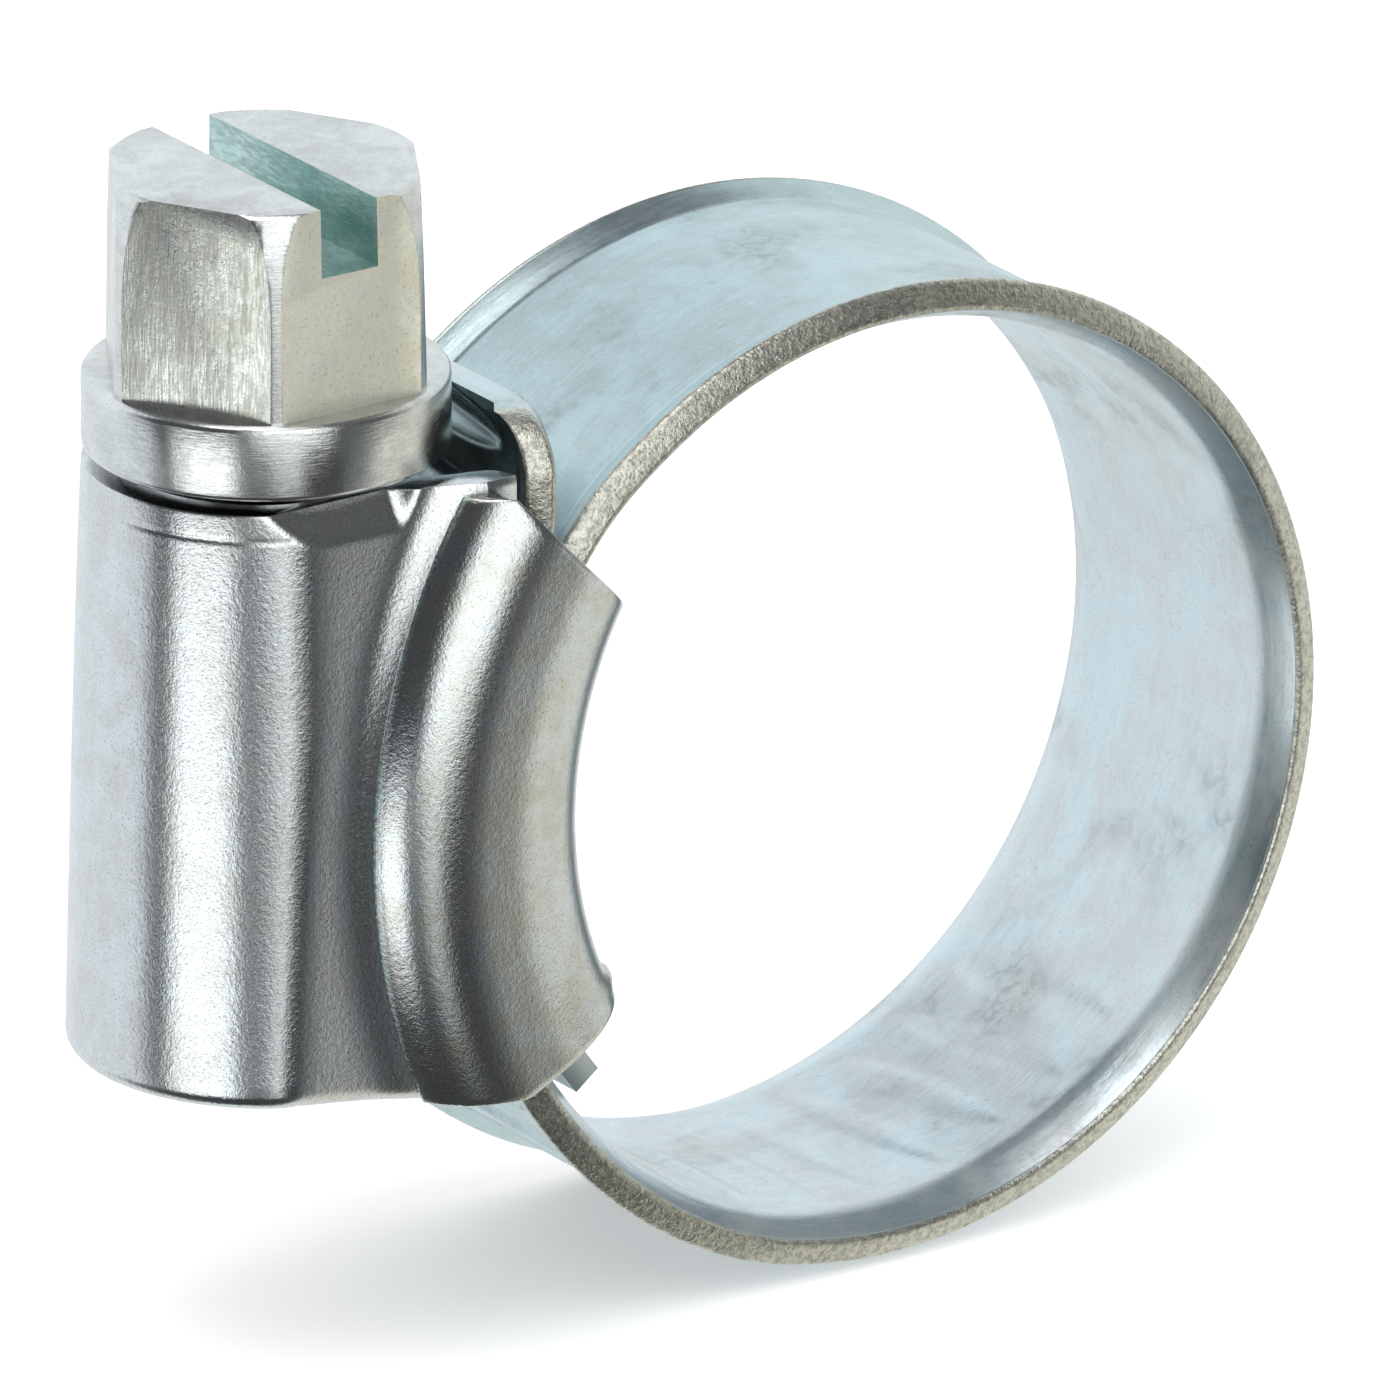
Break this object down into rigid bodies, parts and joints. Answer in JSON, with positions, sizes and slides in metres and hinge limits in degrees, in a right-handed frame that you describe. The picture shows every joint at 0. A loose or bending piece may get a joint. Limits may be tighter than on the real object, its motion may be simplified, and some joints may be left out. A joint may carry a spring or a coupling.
{
  "type": "worm-drive hose clip",
  "caption": "Worm-drive hose clip with a pressed barrel, slotted hexagon screw and rolled-edge band that closes round a hose as the screw turns.",
  "frame": {"origin": "centre of the hose, at the middle of the band's width", "axes": "+Y along the hose, +Z along the worm screw towards its head, the barrel on the -X side"},
  "size_m": [0.0307, 0.011, 0.0281],
  "materials": {
    "zinc_screw": "bright zinc plate over turned steel",
    "zinc_pressed": "bright zinc plate over drawn steel",
    "zinc_band": "blue passivated zinc plate over rolled strip"
  },
  "bodies": {
    "housing": {"screw_barrel": "zinc_pressed", "saddle": "zinc_pressed", "band_fixed_end": "zinc_band"},
    "screw": {"worm_screw": "zinc_screw"},
    "tail": {"band_tail": "zinc_band"},
    "lower_link_1": {"band_lower_link_1": "zinc_band"},
    "lower_link_2": {"band_lower_link_2": "zinc_band"},
    "upper_link_1": {"band_upper_link_1": "zinc_band"},
    "upper_link_2": {"band_upper_link_2": "zinc_band"},
    "upper_link_3": {"band_upper_link_3": "zinc_band"},
    "upper_link_4": {"band_upper_link_4": "zinc_band"},
    "upper_link_5": {"band_upper_link_5": "zinc_band"},
    "upper_link_6": {"band_upper_link_6": "zinc_band"}
  },
  "joints": [
    {"name": "screw_spin", "type": "hinge", "parent": "housing", "child": "screw", "pos_m": [-0.01424, 0, 0], "axis": [0, 0, -1], "range_deg": [0, 3528]},
    {"name": "band_travel", "type": "hinge", "parent": "housing", "child": "tail", "pos_m": [0.00093, 0, 0.00093], "axis": [0, 1, 0], "range_deg": [0, 84.85]},
    {"name": "lower_bend_1", "type": "hinge", "parent": "tail", "child": "lower_link_1", "pos_m": [-0.00426, 0, -0.01014], "axis": [0, 1, 0], "range_deg": [0, 5.48]},
    {"name": "lower_bend_2", "type": "hinge", "parent": "lower_link_1", "child": "lower_link_2", "pos_m": [0.00773, 0, -0.00782], "axis": [0, 1, 0], "range_deg": [-22.97, 0]},
    {"name": "upper_bend_1", "type": "hinge", "parent": "housing", "child": "upper_link_1", "pos_m": [-0.00804, 0, 0.0075], "axis": [0, 1, 0], "range_deg": [0, 13.78]},
    {"name": "upper_bend_2", "type": "hinge", "parent": "upper_link_1", "child": "upper_link_2", "pos_m": [-0.00393, 0, 0.01027], "axis": [0, 1, 0], "range_deg": [0, 12.41]},
    {"name": "upper_bend_3", "type": "hinge", "parent": "upper_link_2", "child": "upper_link_3", "pos_m": [0.00098, 0, 0.01096], "axis": [0, 1, 0], "range_deg": [0, 10.94]},
    {"name": "upper_bend_4", "type": "hinge", "parent": "upper_link_3", "child": "upper_link_4", "pos_m": [0.00569, 0, 0.00942], "axis": [0, 1, 0], "range_deg": [0, 9.69]},
    {"name": "upper_bend_5", "type": "hinge", "parent": "upper_link_4", "child": "upper_link_5", "pos_m": [0.00924, 0, 0.00596], "axis": [0, 1, 0], "range_deg": [0, 8.94]},
    {"name": "upper_bend_6", "type": "hinge", "parent": "upper_link_5", "child": "upper_link_6", "pos_m": [0.01092, 0, 0.0013], "axis": [0, 1, 0], "range_deg": [0, 8.21]}
  ],
  "couplings": [
    {"joint": "band_travel", "follows": "screw_spin", "ratio": 0.024036},
    {"joint": "lower_bend_1", "follows": "screw_spin", "ratio": 0.0015384},
    {"joint": "lower_bend_2", "follows": "screw_spin", "ratio": -0.0064976},
    {"joint": "upper_bend_1", "follows": "screw_spin", "ratio": 0.0038924},
    {"joint": "upper_bend_2", "follows": "screw_spin", "ratio": 0.0035045},
    {"joint": "upper_bend_3", "follows": "screw_spin", "ratio": 0.0030875},
    {"joint": "upper_bend_4", "follows": "screw_spin", "ratio": 0.0027325},
    {"joint": "upper_bend_5", "follows": "screw_spin", "ratio": 0.0025191},
    {"joint": "upper_bend_6", "follows": "screw_spin", "ratio": 0.0023116}
  ]
}
